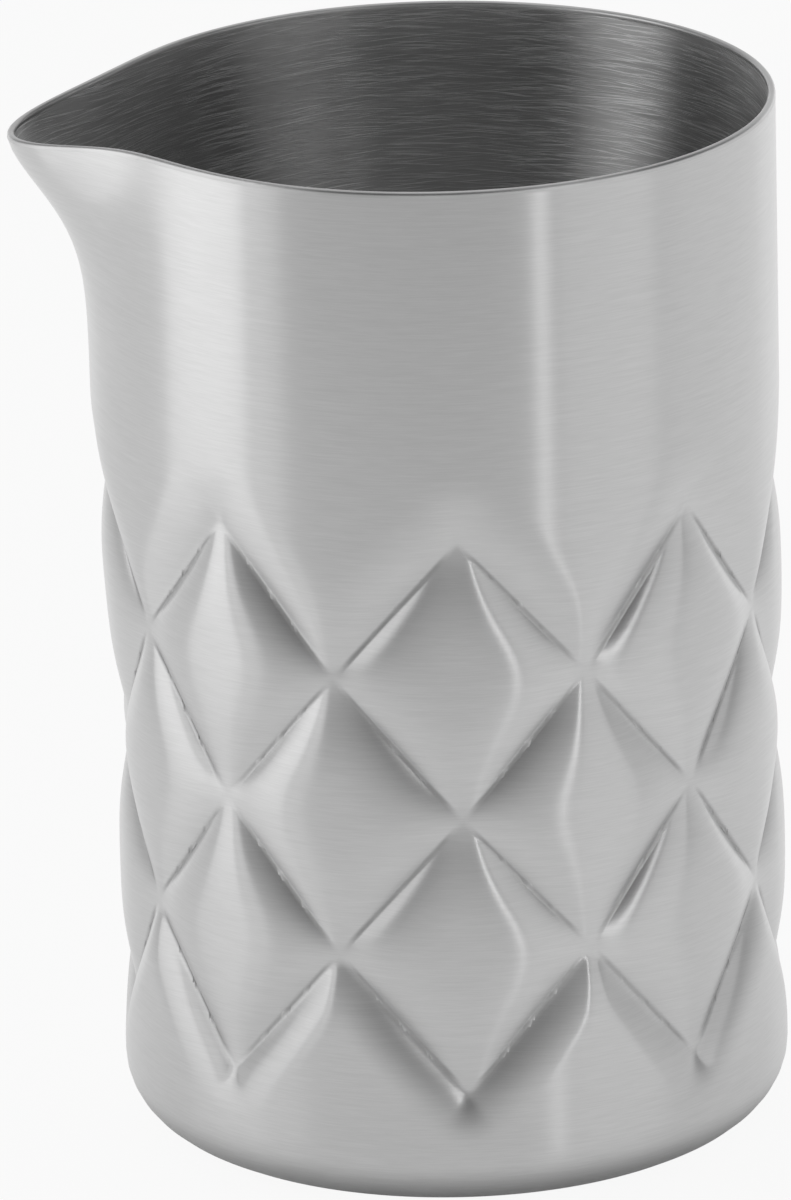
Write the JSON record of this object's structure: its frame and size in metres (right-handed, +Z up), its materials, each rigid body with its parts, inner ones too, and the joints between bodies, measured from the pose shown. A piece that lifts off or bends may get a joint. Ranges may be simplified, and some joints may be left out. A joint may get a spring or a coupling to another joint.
{
  "type": "mixing tin",
  "caption": "Straight double-walled steel mixing tin with a pressed diamond wall, a plain collar and a pinched pouring spout, for stirring and pouring drinks.",
  "frame": {"origin": "on the tin's axis, in the plane that the foot ring stands on", "axes": "+Z up along the tin's axis, -X towards the spout's nose, Y across the spout"},
  "size_m": [0.1019, 0.09, 0.142],
  "materials": {
    "satin_outside": "satin stainless steel with fine brushing round the tin",
    "scratched_inside": "stainless steel with coarser polishing scratches round the inside",
    "ground_rim": "ground and polished seam bead",
    "plain_base": "plain rolled stainless sheet",
    "weld_steel": "fine rippled weld bead"
  },
  "bodies": {
    "root": {"outer_shell": "satin_outside", "inner_liner": "scratched_inside", "rim_bead": "ground_rim", "base_plate": "plain_base", "base_weld": "weld_steel", "vent_plug": "plain_base"}
  },
  "joints": []
}
